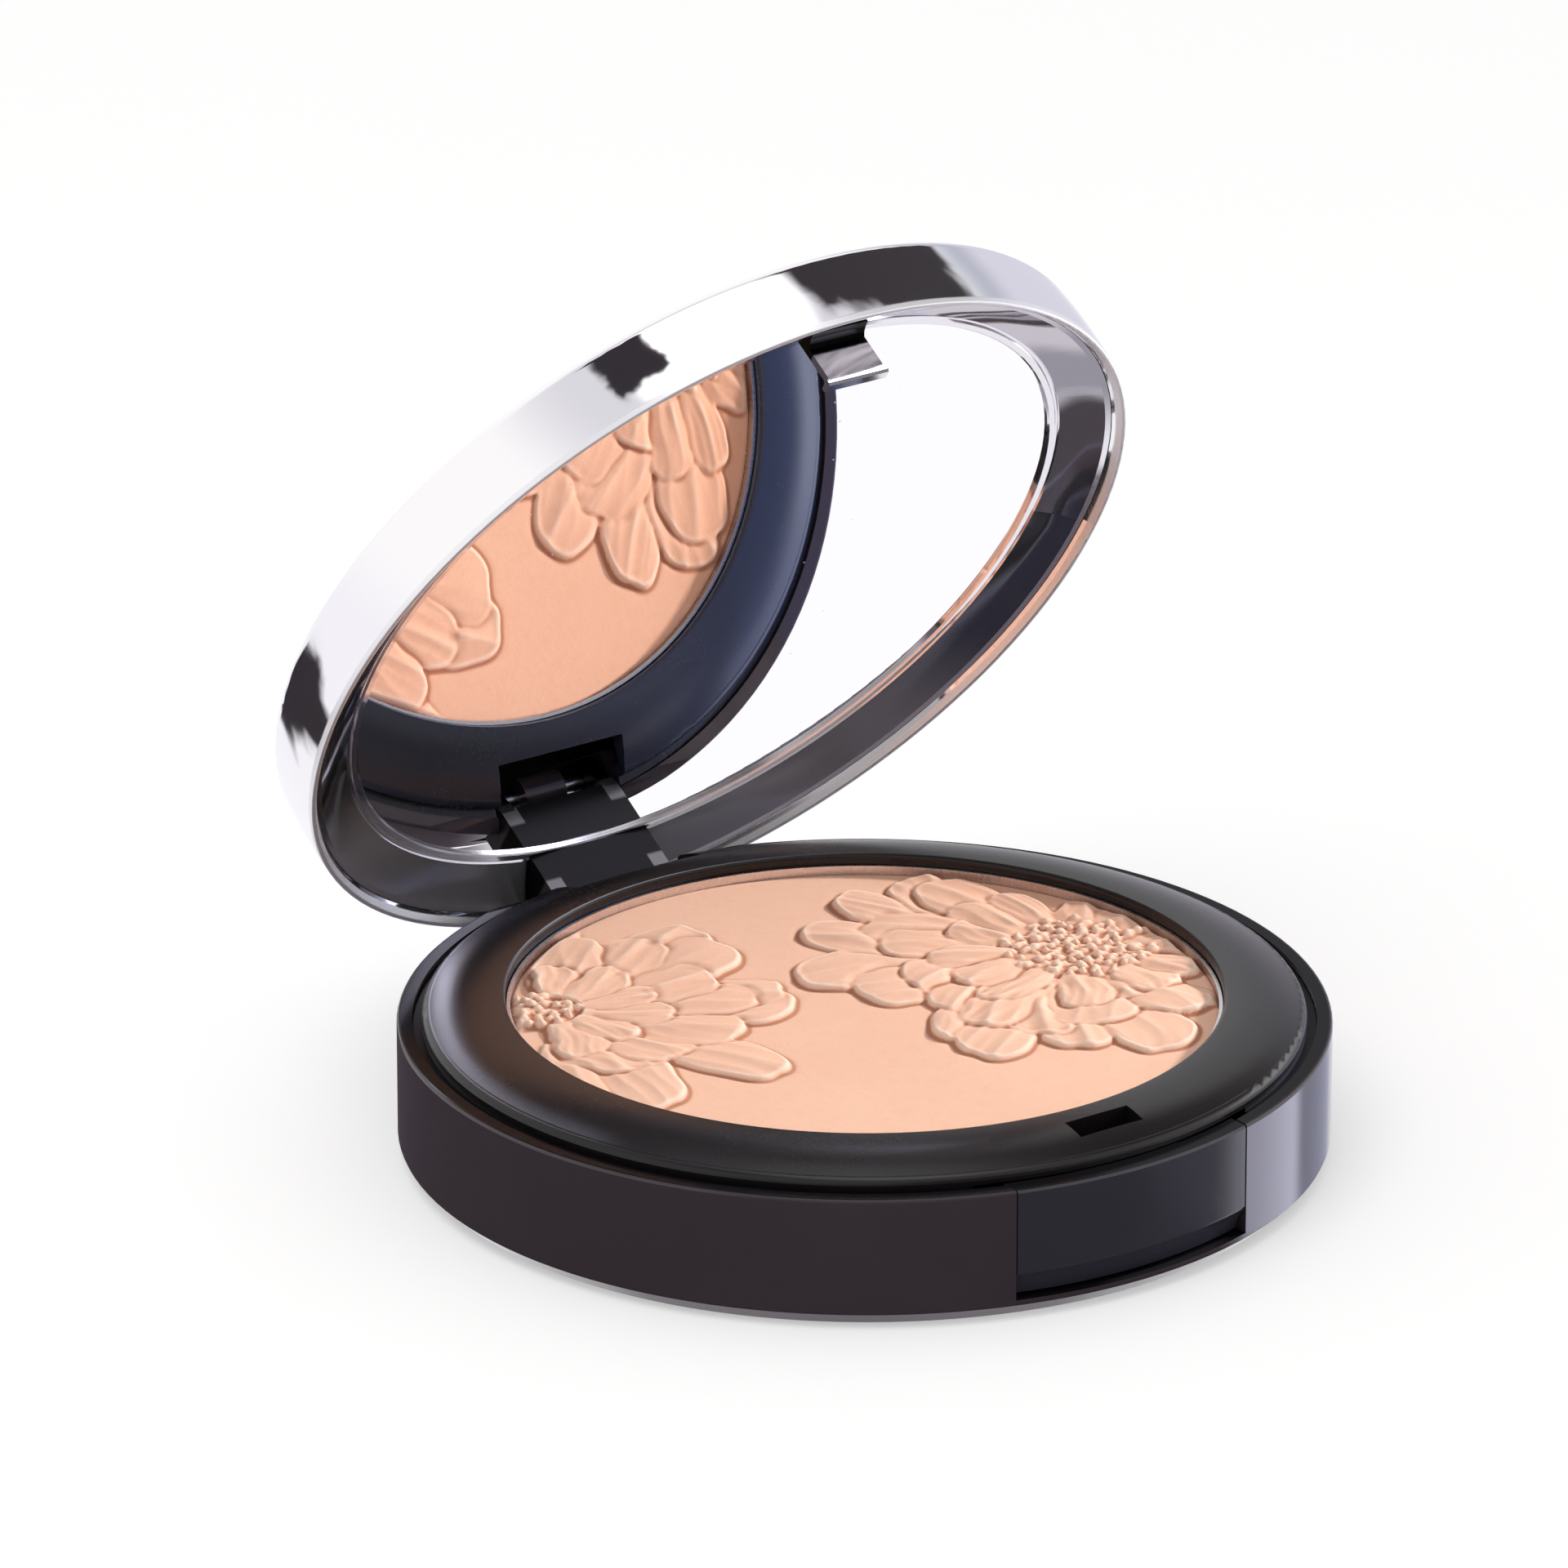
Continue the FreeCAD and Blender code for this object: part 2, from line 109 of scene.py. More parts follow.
class Tree:
    """Short calls for building the node tree of a material or world."""

    def __init__(self, owner, output="ShaderNodeOutputMaterial"):
        owner.use_nodes = True
        self.nodes, self.links = owner.node_tree.nodes, owner.node_tree.links
        self.nodes.clear()
        self.out = self.node(output)

    def put(self, node, values):
        """Set or link the inputs of a node; values is keyed by input name or number."""
        for key, value in values.items():
            if isinstance(value, bpy.types.NodeSocket):
                self.links.new(value, node.inputs[key])
            else:
                node.inputs[key].default_value = value

    def node(self, kind, values=None, **props):
        node = self.nodes.new(kind)
        for name, value in props.items():
            setattr(node, name, value)
        self.put(node, values or {})
        return node

    def math(self, kind, first, second=0.0, clamp=False):
        values = {0: first, 1: second, 2: 0.0}
        return self.node("ShaderNodeMath", values, operation=kind, use_clamp=clamp).outputs[0]

    def add(self, first, second, clamp=False):
        return self.math("ADD", first, second, clamp)

    def sub(self, first, second):
        return self.math("SUBTRACT", first, second)

    def mul(self, first, second):
        return self.math("MULTIPLY", first, second)

    def size(self, value):
        return self.math("ABSOLUTE", value)

    def dot(self, vec, axis):
        values = {0: vec, 1: axis}
        return self.node("ShaderNodeVectorMath", values, operation="DOT_PRODUCT").outputs["Value"]

    def azimuth(self, vec, centre):
        """Angle of a vector around Z, counted from the centre azimuth in degrees."""
        a = math.radians(centre)
        sideways = self.dot(vec, (math.cos(a), math.sin(a), 0))
        return self.math("ARCTAN2", sideways, self.dot(vec, (math.sin(a), -math.cos(a), 0)))

    def ramp(self, value, start, stop, first=0.0, last=1.0, kind="SMOOTHSTEP"):
        """Go from first to last while the value goes from start to stop."""
        values = {"Value": value, "From Min": start, "From Max": stop,
                  "To Min": first, "To Max": last}
        return self.node("ShaderNodeMapRange", values, interpolation_type=kind).outputs["Result"]

    def fall(self, value, start, stop):
        """1 below start, 0 above stop."""
        return self.ramp(value, start, stop, 1.0, 0.0)

    def linear(self, value, start, stop, first, last):
        return self.ramp(value, start, stop, first, last, "LINEAR")

    def mix(self, amount, first, second, blend="MIX"):
        colours = [c if isinstance(c, bpy.types.NodeSocket) else (*c, 1.0) for c in (first, second)]
        values = {0: amount, 6: colours[0], 7: colours[1]}
        return self.node("ShaderNodeMix", values, data_type="RGBA", blend_type=blend).outputs[2]

    def texture_coord(self, kind):
        return self.node("ShaderNodeTexCoord").outputs[kind]

    def glossy_depth(self):
        return self.node("ShaderNodeLightPath").outputs["Glossy Depth"]

    def scaled(self, vec, scale):
        return self.node("ShaderNodeMapping", {"Vector": vec, "Scale": scale}).outputs["Vector"]

    def noise(self, vec, scale, detail=3.0, rough=0.55, distortion=0.0):
        values = {"Vector": vec, "Scale": scale, "Detail": detail,
                  "Roughness": rough, "Distortion": distortion}
        return self.node("ShaderNodeTexNoise", values).outputs["Fac"]

    def voronoi(self, vec, scale):
        values = {"Vector": vec, "Scale": scale}
        return self.node("ShaderNodeTexVoronoi", values, feature="F1").outputs["Distance"]

    def bump(self, height, strength, distance):
        values = {"Strength": strength, "Distance": distance, "Height": height}
        return self.node("ShaderNodeBump", values).outputs["Normal"]

    def shader_mix(self, amount, first, second):
        values = {0: amount, 1: first.outputs[0], 2: second.outputs[0]}
        return self.node("ShaderNodeMixShader", values)


def new_material(name):
    """A material with a principled shader: material, tree, shader, object coordinates."""
    made = bpy.data.materials.new(name)
    tree = Tree(made)
    bsdf = tree.node("ShaderNodeBsdfPrincipled")
    tree.put(tree.out, {0: bsdf.outputs[0]})
    return made, tree, bsdf, tree.texture_coord("Object")


def scratches(tree, coord, scale, thin, turns=((1, 9, 1), (8, 1, 1))):
    """Sparse hairlines: stretched noise, kept only where it crosses a narrow band."""
    total = None
    for i, stretch in enumerate(turns):
        lines = tree.noise(tree.scaled(coord, stretch), scale * (1 + 0.37 * i),
                           detail=2.0, rough=0.4, distortion=0.25)
        band = tree.fall(tree.size(tree.sub(lines, 0.5)), 0.0, thin)
        total = band if total is None else tree.math("MAXIMUM", total, band)
    patches = tree.ramp(tree.noise(coord, scale * 0.35, detail=1.0), 0.52, 0.66)
    return tree.mul(total, patches)


# ------------------------------------------------------------------ materials


def plastic(name, dark, light, rough, grain=0.02, spec=0.5, ledge=None, seen=None):
    """Moulded black plastic: drifting colour, fine haze, faint handling hairlines.
    Faces that look straight up below the height ledge, seen directly, get painted shade: near
    black, with little shine. seen = painted reflection: colours, left and right, that the piece
    takes in the mirror."""
    made, tree, bsdf, coord = new_material(name)
    even = min(1.0, grain / 0.02)
    broad = tree.noise(coord, scale=38.0)
    fine = tree.noise(coord, scale=2600.0, detail=2.0)
    hair = tree.mul(scratches(tree, coord, scale=210.0, thin=0.008), even)
    colour = tree.mix(tree.ramp(broad, 0.3, 0.7), dark, light)
    if ledge:
        # painted shade: upward faces below the ledge height, seen directly, turn near black and
        # lose most shine, as in the shade under the deck's edge
        facing_up = tree.ramp(tree.dot(tree.texture_coord("Normal"), UP), 0.90, 0.985)
        ledge_painted_shade = tree.mul(facing_up, tree.fall(tree.dot(coord, UP), ledge, ledge + 0.0001))
        ledge_painted_shade = tree.mul(ledge_painted_shade, tree.math("LESS_THAN", tree.glossy_depth(), 0.5))
        colour = tree.mix(ledge_painted_shade, colour, (0.006, 0.0055, 0.0065))
        spec = tree.sub(spec, tree.mul(ledge_painted_shade, spec * 0.93))
    if seen:
        # painted reflection: seen in the mirror along the line of sight, the piece takes the cool
        # colours given, brighter and bluer to the right, in place of the room it reflects
        mirror_painted_light_mask = tree.math("GREATER_THAN", tree.glossy_depth(), 0.5)
        came = tree.dot(tree.node("ShaderNodeNewGeometry").outputs["Incoming"], SIGHT)
        mirror_painted_light_mask = tree.mul(mirror_painted_light_mask, tree.ramp(came, 0.972, 0.988))
        left_to_right = tree.ramp(tree.dot(coord, X_AXIS), -0.022, 0.034)
        colour = tree.mix(mirror_painted_light_mask, colour, tree.mix(left_to_right, *seen))
    haze = tree.linear(tree.noise(coord, scale=120.0, detail=2.0), 0.3, 0.7,
                       first=rough * (1 - 0.08 * even), last=rough * (1 + 0.10 * even))
    haze = tree.add(haze, tree.mul(hair, 0.05))
    haze = tree.add(haze, tree.mul(tree.sub(fine, 0.5), 0.03 * even), clamp=True)
    height = tree.sub(fine, tree.mul(hair, 0.8))
    tree.put(bsdf, {
        "Base Color": colour, "Specular IOR Level": spec, "Roughness": haze,
        "IOR": 1.49, "Coat Roughness": 0.04,
        "Normal": tree.bump(height, strength=grain, distance=0.00002)})
    return made


def hook_root_painted_shade(tree, coord):
    """Mask and colour of painted shade on the root of the latch hook, where it leaves its pocket in
    the frame: near black.
    """
    height = tree.sub(tree.dot(coord, ALONG), PIN_ALONG + 0.0052)
    return tree.ramp(height, -0.00012, 0.00012), (0.006, 0.0055, 0.005)


def frame_lugs_painted_light(tree, coord):
    """Mask and colour of painted shade on the lugs of the mirror frame, near black, with painted
    highlights as paler stubs at the pin.
    """
    side = tree.size(tree.dot(coord, X_AXIS))
    depth = tree.sub(tree.dot(coord, ACROSS), PIN_ACROSS)
    height = tree.sub(tree.dot(coord, ALONG), PIN_ALONG)
    mask = tree.mul(tree.fall(side, 0.0060, 0.0064), tree.ramp(depth, -0.0031, -0.0029))
    mask = tree.mul(mask, tree.fall(height, 0.0069, 0.0071))
    level = tree.fall(tree.size(tree.sub(height, 0.0030)), 0.0010, 0.0014)
    stub_painted_highlight = tree.mul(tree.ramp(side, 0.00435, 0.0045), level)
    return mask, tree.mix(stub_painted_highlight, (0.008, 0.007, 0.0075), (0.15, 0.145, 0.14))


def plated(name, tint, rough, smudge, metal=1.0, painted_light_part=None, satin=None):
    """Bright plating: thin smears, hairlines and a slight waviness. bare = function that gives
    the mask and colour of painted shade, with painted highlights where given, on a part that
    is also made rougher. satin = (axis, place along it, half width of the change, added
    roughness) of a satin zone past that place."""
    made, tree, bsdf, coord = new_material(name)
    smear = tree.noise(tree.scaled(coord, (1, 1, 2.2)), scale=55.0,
                       detail=5.0, rough=0.62, distortion=0.8)
    smear = tree.ramp(smear, 0.5, 0.78)
    hair = scratches(tree, coord, scale=160.0, thin=0.006,
                     turns=((1, 14, 1), (12, 1, 1), (3, 1, 9)))
    cool = tuple(min(1.0, c * k) for c, k in zip(tint, (0.975, 0.98, 1.02)))
    colour = tree.mix(tree.noise(coord, scale=30.0, detail=2.0), tint, cool)
    painted_light_mask = 0.0
    # painted light on a part: its colour turns to the painted shade and highlights given, and it
    # gets rougher
    if painted_light_part:
        painted_light_mask, painted_light_colour = painted_light_part(tree, coord)
        colour = tree.mix(painted_light_mask, colour, painted_light_colour)
    tree.put(bsdf, {"Base Color": colour, "Metallic": metal})
    rough = tree.add(rough, tree.mul(smear, smudge))
    if satin:
        axis, place, half_width, added = satin
        zone = tree.ramp(tree.dot(coord, axis), place - half_width, place + half_width)
        rough = tree.add(rough, tree.mul(zone, added))
        tree.put(bsdf, {"Metallic": tree.sub(metal, tree.mul(zone, 0.12))})
    rough = tree.add(rough, tree.mul(painted_light_mask, 0.22))
    rough = tree.add(rough, tree.mul(hair, 0.09), clamp=True)
    wave = tree.mul(tree.noise(coord, scale=90.0, detail=1.0), 1.0)
    height = tree.add(wave, tree.mul(hair, -0.05))
    tree.put(bsdf, {"Roughness": rough,
                    "Normal": tree.bump(height, strength=0.05, distance=0.00018)})
    return made


def powder_material():
    """Matt, fine grained, peach, with painted highlights on raised edges, painted shade in the
    creases and towards the right edge, and painted shade when seen in the mirror.
    """
    made, tree, bsdf, coord = new_material("powder_pressed")
    crease = tree.node("ShaderNodeAttribute", attribute_name="crease").outputs["Fac"]
    grain = tree.noise(coord, scale=5200.0, rough=0.7)
    clump = tree.noise(coord, scale=900.0, detail=4.0, rough=0.6)
    drift = tree.noise(coord, scale=60.0)
    colour = tree.mix(tree.ramp(drift, 0.3, 0.7), (0.880, 0.535, 0.385), (0.900, 0.565, 0.415))
    # painted shade: darker towards the right edge, a little to the back, where the deck's wall
    # shades the powder
    a = math.radians(68)
    toward_painted_shade = tree.dot(coord, (math.sin(a) / (RADIUS * MM), math.cos(a) / (RADIUS * MM), 0))
    layers = [  # amount, colour
        (tree.mul(tree.ramp(clump, 0.45, 0.75), 0.30), (0.83, 0.47, 0.32)),
        (tree.mul(tree.ramp(grain, 0.58, 0.78), 0.40), (0.97, 0.70, 0.56)),
        (tree.mul(tree.fall(grain, 0.28, 0.44), 0.28), (0.68, 0.34, 0.22)),
        # painted shade in the hollows of the relief, painted highlights on its raised edges
        (tree.ramp(crease, 0.05, 0.5, first=0.90, last=0.0), (0.46, 0.19, 0.11)),
        (tree.ramp(crease, 0.5, 0.95, first=0.0, last=0.65), (0.99, 0.79, 0.66)),
        (tree.mul(tree.ramp(toward_painted_shade, 0.70, 1.0), 0.38), (0.60, 0.29, 0.18)),
    ]
    for amount, layer in layers:
        colour = tree.mix(amount, colour, layer)
    # painted shade: seen in the mirror, the powder is darker and more orange
    mirror_painted_light_mask = tree.math("GREATER_THAN", tree.glossy_depth(), 0.5)
    mirror_painted_shade = tree.mix(1.0, colour, (0.98, 0.88, 0.83), "MULTIPLY")
    glint = tree.fall(tree.voronoi(coord, scale=2600.0), 0.04, 0.09)
    height = tree.add(tree.mul(grain, 0.6), clump)
    tree.put(bsdf, {
        "Base Color": tree.mix(tree.mul(mirror_painted_light_mask, 1.0), colour, mirror_painted_shade),
        "Roughness": tree.sub(0.88, tree.mul(glint, 0.35)),
        "Specular IOR Level": 0.22,
        "Sheen Weight": 0.12, "Sheen Roughness": 0.5, "Sheen Tint": (1.0, 0.84, 0.74, 1.0),
        "Normal": tree.bump(height, strength=0.22, distance=0.00009)})
    return made


def mirror_material():
    """Silvered glass: very faint dust and a wiped haze."""
    made, tree, bsdf, coord = new_material("mirror_silvered")
    wipe = tree.noise(tree.scaled(coord, (1, 6, 2)), scale=60.0,
                      detail=4.0, rough=0.6, distortion=0.4)
    wipe = tree.ramp(wipe, 0.56, 0.8)
    dust = tree.fall(tree.voronoi(coord, scale=420.0), 0.03, 0.055)
    haze = tree.add(tree.mul(wipe, 0.012), tree.mul(dust, 0.2))
    tree.put(bsdf, {
        "Base Color": tree.mix(tree.mul(dust, 0.22), (0.985, 0.985, 0.98), (0.86, 0.85, 0.84)),
        "Metallic": 1.0, "Roughness": tree.add(0.002, haze)})
    return made


def lined_metal(name, tint, rough, stretch):
    """Drawn or rolled metal with lines along one direction."""
    made, tree, bsdf, coord = new_material(name)
    lines = tree.noise(tree.scaled(coord, stretch), scale=900.0, detail=4.0, rough=0.6)
    tree.put(bsdf, {
        "Base Color": tree.mix(lines, tuple(c * 0.8 for c in tint), tint),
        "Metallic": 1.0,
        "Roughness": tree.linear(lines, 0.3, 0.7, first=rough * 0.7, last=rough * 1.35),
        "Normal": tree.bump(lines, strength=0.2, distance=0.00002)})
    return made


def soft(name, dark, light, rough, scale, bump=0.3):
    """Matt hidden parts: adhesive, foam and card."""
    made, tree, bsdf, coord = new_material(name)
    blotch = tree.noise(coord, scale, detail=4.0, rough=0.65)
    cell = tree.voronoi(coord, scale * 1.8)
    tree.put(bsdf, {
        "Base Color": tree.mix(tree.ramp(blotch, 0.3, 0.7), dark, light),
        "Roughness": tree.linear(cell, 0.0, 0.6, first=rough * 0.85, last=min(1.0, rough * 1.1)),
        "Normal": tree.bump(tree.add(blotch, cell), strength=bump, distance=0.00005)})
    return made


MATERIALS = {
    "base_shell": plastic("base_gloss", dark=(0.0350, 0.0260, 0.0320),
                          light=(0.0410, 0.0310, 0.0380), rough=0.13, ledge=LEDGE),
    "push_plate": plastic("plate_gloss", dark=(0.0260, 0.0250, 0.0350),
                          light=(0.0310, 0.0300, 0.0410), rough=0.16, ledge=LEDGE),
    # the deck, near black; seen in the mirror it takes painted reflection colours, cool and bluer
    # to the right
    "bezel_deck": plastic("deck_satin", dark=(0.0075, 0.0062, 0.0066),
                          light=(0.0105, 0.0088, 0.0092), rough=0.27, grain=0.004, spec=0.34,
                          ledge=LEDGE, seen=((0.017, 0.018, 0.026), (0.024, 0.030, 0.060))),
    "catch_slider": plastic("catch_matt", dark=(0.009, 0.009, 0.009),
                            light=(0.014, 0.014, 0.014), rough=0.5, grain=0.1),
    "lid_cover": plated("cover_plating", (0.91, 0.90, 0.91), rough=0.035, smudge=0.04,
                        metal=0.975, satin=(-ALONG, -RIM - 0.0007, 0.00012, 0.33)),
    "mirror_frame": plated("frame_plating", (0.82, 0.80, 0.83), rough=0.045, smudge=0.05,
                           metal=0.985, painted_light_part=frame_lugs_painted_light,
                           satin=(ACROSS, PIN_ACROSS - 0.016, 0.006, 0.12)),
    "latch_hook": plated("hook_plating", (0.84, 0.82, 0.83), rough=0.07, smudge=0.06,
                         painted_light_part=hook_root_painted_shade),
    "mirror_glass": mirror_material(),
    "powder_pan": lined_metal("pan_rolled", (0.78, 0.78, 0.79), rough=0.32, stretch=(1, 14, 1)),
    "hinge_pin": lined_metal("pin_drawn", (0.60, 0.60, 0.62), rough=0.25, stretch=(1, 20, 20)),
    "return_springs": lined_metal("spring_wire", (0.58, 0.58, 0.60), rough=0.28,
                                  stretch=(6, 6, 6)),
    "pan_glue_pads": soft("hot_melt", (0.62, 0.58, 0.46), (0.72, 0.68, 0.56),
                          rough=0.42, scale=700.0),
    "mirror_tape": soft("foam_tape", (0.78, 0.78, 0.76), (0.86, 0.86, 0.84),
                        rough=0.9, scale=1500.0, bump=0.6),
    "base_label": soft("label_card", (0.012, 0.012, 0.013), (0.022, 0.021, 0.023),
                       rough=0.62, scale=1100.0, bump=0.2),
}
for piece, look in MATERIALS.items():
    NODES[piece].data.materials.clear()
    NODES[piece].data.materials.append(look)

# ------------------------------------------------------------------ powder relief, in mm

STEP = 0.15
reach = int(RADIUS / STEP) + 1
steps = np.arange(-reach, reach + 1) * STEP
GRID_X, GRID_Y = np.meshgrid(steps, steps, indexing="ij")

# rings of petals, outermost first: count, radius of the roots, petal length, width,
# level, lift towards the tip, doming, first and last angle in degrees
LEFT_BLOSSOM = [
    (8, 6.5, 15.5, 7.6, 0.10, 0.16, 0.34, -125, 65),
    (7, 4.6, 11.5, 6.4, 0.22, 0.20, 0.32, -118, 60),
    (6, 2.8, 7.2, 4.6, 0.32, 0.20, 0.26, -120, 60),
]
RIGHT_BLOSSOM = [
    (9, 8.4, 14.0, 7.4, 0.10, 0.16, 0.34, 88, 262),
    (9, 6.4, 11.0, 6.8, 0.20, 0.20, 0.34, 92, 275),
    (9, 4.8, 7.6, 5.0, 0.30, 0.20, 0.28, 60, 300),
    (5, 5.2, 6.0, 5.2, 0.28, 0.18, 0.28, -70, 65),
]
# folds that fan over a petal, broad to fine: frequency, height
FOLDS = [(1.9, 0.13), (4.6, 0.16), (8.6, 0.115), (15.0, 0.055)]


def sstep(x, start, stop):
    x = np.clip((x - start) / (stop - start), 0, 1)
    return x * x * (3 - 2 * x)


def local(origin, angle):
    """Grid coordinates from an origin, along and across an angle in radians."""
    x, y = GRID_X - origin[0], GRID_Y - origin[1]
    cos, sin = math.cos(angle), math.sin(angle)
    return x * cos + y * sin, -x * sin + y * cos


def petal(height, root, angle, length, width, level, lift, dome, rng):
    """Lay one petal over the height field: a pillow that widens from its root to a blunt
    round tip, bends a little sideways, and has folds that fan out from the root. A fine
    ditch follows its edge."""
    bend = rng.uniform(-0.16, 0.16)
    along, across = local(root, angle)
    along = along / length
    across = across - bend * length * along * np.abs(along)
    run = np.clip(along, 0.0, 1.0)
    wobble = (1 + 0.07 * np.sin(7.5 * run + rng.uniform(0, 6)) * np.where(across > 0, 1, -1)
              + 0.03 * np.sin(19 * run + rng.uniform(0, 6)))
    half = width / 2 * (0.50 + 0.50 * np.sin(np.pi / 2 * np.clip(run / 0.62, 0, 1))) * wobble
    tip = 0.62 + rng.uniform(-0.03, 0.05)
    past_tip = np.clip((along - tip) / (1 - tip), 0, None)
    side = across / half
    notch = rng.uniform(0.0, 0.10) * np.exp(-((side - rng.uniform(-0.3, 0.3)) / 0.28) ** 2)
    notch = notch * (past_tip > 0)
    # 0 on the midline, 1 on the outline; gap = distance inside the outline
    rho = (np.abs(side) ** 2.5 + (past_tip * (1 + notch)) ** 2.5) ** 0.4
    gap = (1 - rho) * width / 2
    gap = np.where(along < 0, np.minimum(gap, along * length), gap)
    ditch = rng.uniform(0.07, 0.15) * np.exp(-(np.clip(-gap, 0, None) / 0.30) ** 2)
    ditch = ditch * (along > 0.12)
    height = height - ditch * np.where(height > 0.02, 1.0, 0.5)
    mask = sstep(gap, 0.0, 0.24)
    body = level + lift * run ** 1.2 + dome * np.clip(1 - rho ** 2.2, 0, 1) ** 0.62
    lip = rng.uniform(0.0, 0.10) * np.exp(-((gap - 0.28) / 0.22) ** 2)
    body = body + lip * sstep(run, 0.55, 0.9)
    skew = rng.uniform(-0.10, 0.10)
    body = body + skew * side * (1 - rho ** 4 * 0.5)
    phase, pitch = rng.uniform(0, 6.28, 4), rng.uniform(0.85, 1.2, 4)
    fan_shape = sstep(run, 0.05, 0.35) * (1 - 0.30 * sstep(rho, 0.85, 1.0))
    for i, (frequency, rise) in enumerate(FOLDS):
        fan = fan_shape * (0.62 + 0.38 * np.sin(4.3 * run + 2.0 * phase[i]))
        wave = frequency * pitch[i] * (side + 0.14 * np.sin(5 * run + phase[i])) + phase[i]
        if i == 0:
            fold = np.sin(wave)
        else:
            fold = 0.62 - 2 * np.abs(np.sin(wave / 2)) ** 0.8 * 0.62
        body = body + rise * fold * fan
    return height * (1 - mask) + body * mask


def blossom(height, centre, rings, seed):
    """Rings of petals, each petal its own length, width and turn."""
    rng = np.random.default_rng(seed)
    for count, radius, length, width, level, lift, dome, first, last in rings:
        for i in rng.permutation(count):
            a = math.radians(first + (last - first) * (i + 0.5) / count + rng.uniform(-6, 6))
            own_length = length * rng.uniform(0.84, 1.14)
            own_width = width * rng.uniform(0.86, 1.14)
            root = (centre[0] + radius * math.cos(a), centre[1] + radius * math.sin(a))
            turned = a + rng.uniform(-0.20, 0.20)
            own_level = level + rng.uniform(-0.05, 0.06)
            height = petal(height, root, turned, own_length, own_width, own_level, lift, dome, rng)
    return height


def stamens(height, centre, radius, count, seed):
    """Close-set anthers in the heart of a blossom: bead heads, some on short bent stalks."""
    rng = np.random.default_rng(seed)
    x, y = GRID_X - centre[0], GRID_Y - centre[1]
    heart = radius * (1 + 0.10 * np.sin(5 * np.arctan2(y, x) + seed))
    disc = sstep(heart - np.hypot(x, y), -0.6, 0.9)
    height = height * (1 - disc) + 0.36 * disc
    for i in range(count):
        out = radius * math.sqrt((i + 0.5) / count) * rng.uniform(0.95, 1.10)
        a = i * 2.39996 + rng.uniform(-0.25, 0.25)  # golden angle, in radians
        spot = (centre[0] + out * math.cos(a), centre[1] + out * math.sin(a))
        bead = rng.uniform(0.30, 0.56)
        if rng.uniform() < 0.45:
            length, half = rng.uniform(0.8, 1.7), rng.uniform(0.14, 0.2)
            along, across = local(spot, a + rng.uniform(-0.7, 0.7))
            beyond = np.clip(np.abs(along + length / 2) - length / 2, 0, None)
            off = np.hypot(across - 0.2 * along * along, beyond)
            stalk = 0.40 + 0.20 * np.sqrt(np.clip(1 - (off / half) ** 2, 0, 1))
            height = np.where(off < half, np.maximum(height, stalk), height)
        off = ((GRID_X - spot[0]) ** 2 + (GRID_Y - spot[1]) ** 2) / (bead * bead)
        top = 0.34 + rng.uniform(0.25, 0.62) * np.sqrt(np.clip(1 - off, 0, 1))
        height = np.where(off < 1, np.maximum(height, top), height)
    return height


def blur(field, times):
    for _ in range(times):
        field = (field + np.roll(field, 1, 0) + np.roll(field, -1, 0)
                 + np.roll(field, 1, 1) + np.roll(field, -1, 1)) / 5
    return field


def powder_field():
    """Height of the relief over the grid, and its crease value: 0 hollow, 1 raised."""
    height = blossom(np.zeros_like(GRID_X), (-22.0, 14.0), LEFT_BLOSSOM, seed=23)
    height = stamens(height, (-23.0, 14.6), radius=3.4, count=40, seed=9)
    height = blossom(height, (21.0, -0.5), RIGHT_BLOSSOM, seed=12)
    height = stamens(height, (21.4, -0.6), radius=6.0, count=150, seed=5)
    height = blur(height, 1)
    rng = np.random.default_rng(3)
    height = height + blur(rng.normal(0, 1, height.shape), 3) * 0.006
    height = height * sstep(RADIUS - np.hypot(GRID_X, GRID_Y), 0.05, 0.7)
    crease = height - blur(height, int(round(0.55 / STEP * 3)))
    return height, np.clip(0.5 + crease * 5.0, 0, 1)


